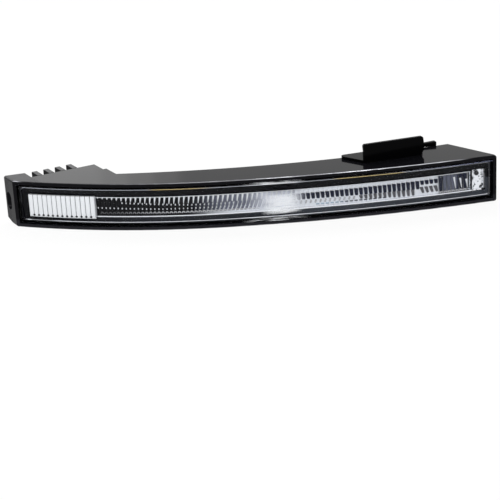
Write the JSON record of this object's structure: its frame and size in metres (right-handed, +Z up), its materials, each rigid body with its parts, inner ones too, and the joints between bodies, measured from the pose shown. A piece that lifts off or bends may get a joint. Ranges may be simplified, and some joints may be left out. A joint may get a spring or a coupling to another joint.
{
  "type": "daytime running light",
  "caption": "Long, bowed LED lamp for a front bumper, with a fluted light band behind a clear cover, a finned heat sink end with a slotted ear, and a clip bracket on top.",
  "frame": {"origin": "on the flat underside, half way along the face, 15 mm behind the foremost point of the face", "axes": "+Z up; the lit face looks along -Y; +X runs along the face from the heat sink end towards the slanted end with the bracket"},
  "size_m": [0.3375, 0.0606, 0.0456],
  "materials": {
    "housing": "glossy black moulding",
    "outer_lens": "clear polished cover",
    "lens_seal": "soft black bead",
    "bezel": "glossy black",
    "reflector": "bright vacuum metallised",
    "light_guide": "clear fluted optic",
    "ribbed_block": "white ribbed optic",
    "end_reflector": "bright vacuum metallised",
    "end_screw": "dark steel",
    "led_board": "white solder mask",
    "leds": "pale yellow phosphor",
    "board_screws": "bright steel",
    "driver_board": "green solder mask",
    "driver_coil": "dark ferrite",
    "driver_capacitors": "bare can",
    "driver_chip": "black moulded",
    "thermal_pad": "soft grey-blue",
    "heat_sink": "black anodised",
    "sink_gasket": "soft black",
    "sink_screws": "bright steel",
    "link_lead": "amber film",
    "bracket": "gloss black",
    "bracket_screws": "bright steel",
    "screw_inserts": "plain brass",
    "connector_socket": "black moulded",
    "contact_pins": "plated",
    "socket_seal": "soft red-brown",
    "breather_vent": "black moulded"
  },
  "bodies": {
    "root": {"housing": "housing", "outer_lens": "outer_lens", "lens_seal": "lens_seal", "bezel": "bezel", "reflector": "reflector", "light_guide": "light_guide", "ribbed_block": "ribbed_block", "end_reflector": "end_reflector", "end_screw": "end_screw", "led_board": "led_board", "leds": "leds", "board_screws": "board_screws", "driver_board": "driver_board", "driver_coil": "driver_coil", "driver_capacitors": "driver_capacitors", "driver_chip": "driver_chip", "thermal_pad": "thermal_pad", "heat_sink": "heat_sink", "sink_gasket": "sink_gasket", "sink_screws": "sink_screws", "link_lead": "link_lead", "bracket": "bracket", "bracket_screws": "bracket_screws", "screw_inserts": "screw_inserts", "connector_socket": "connector_socket", "contact_pins": "contact_pins", "socket_seal": "socket_seal", "breather_vent": "breather_vent"}
  },
  "joints": []
}
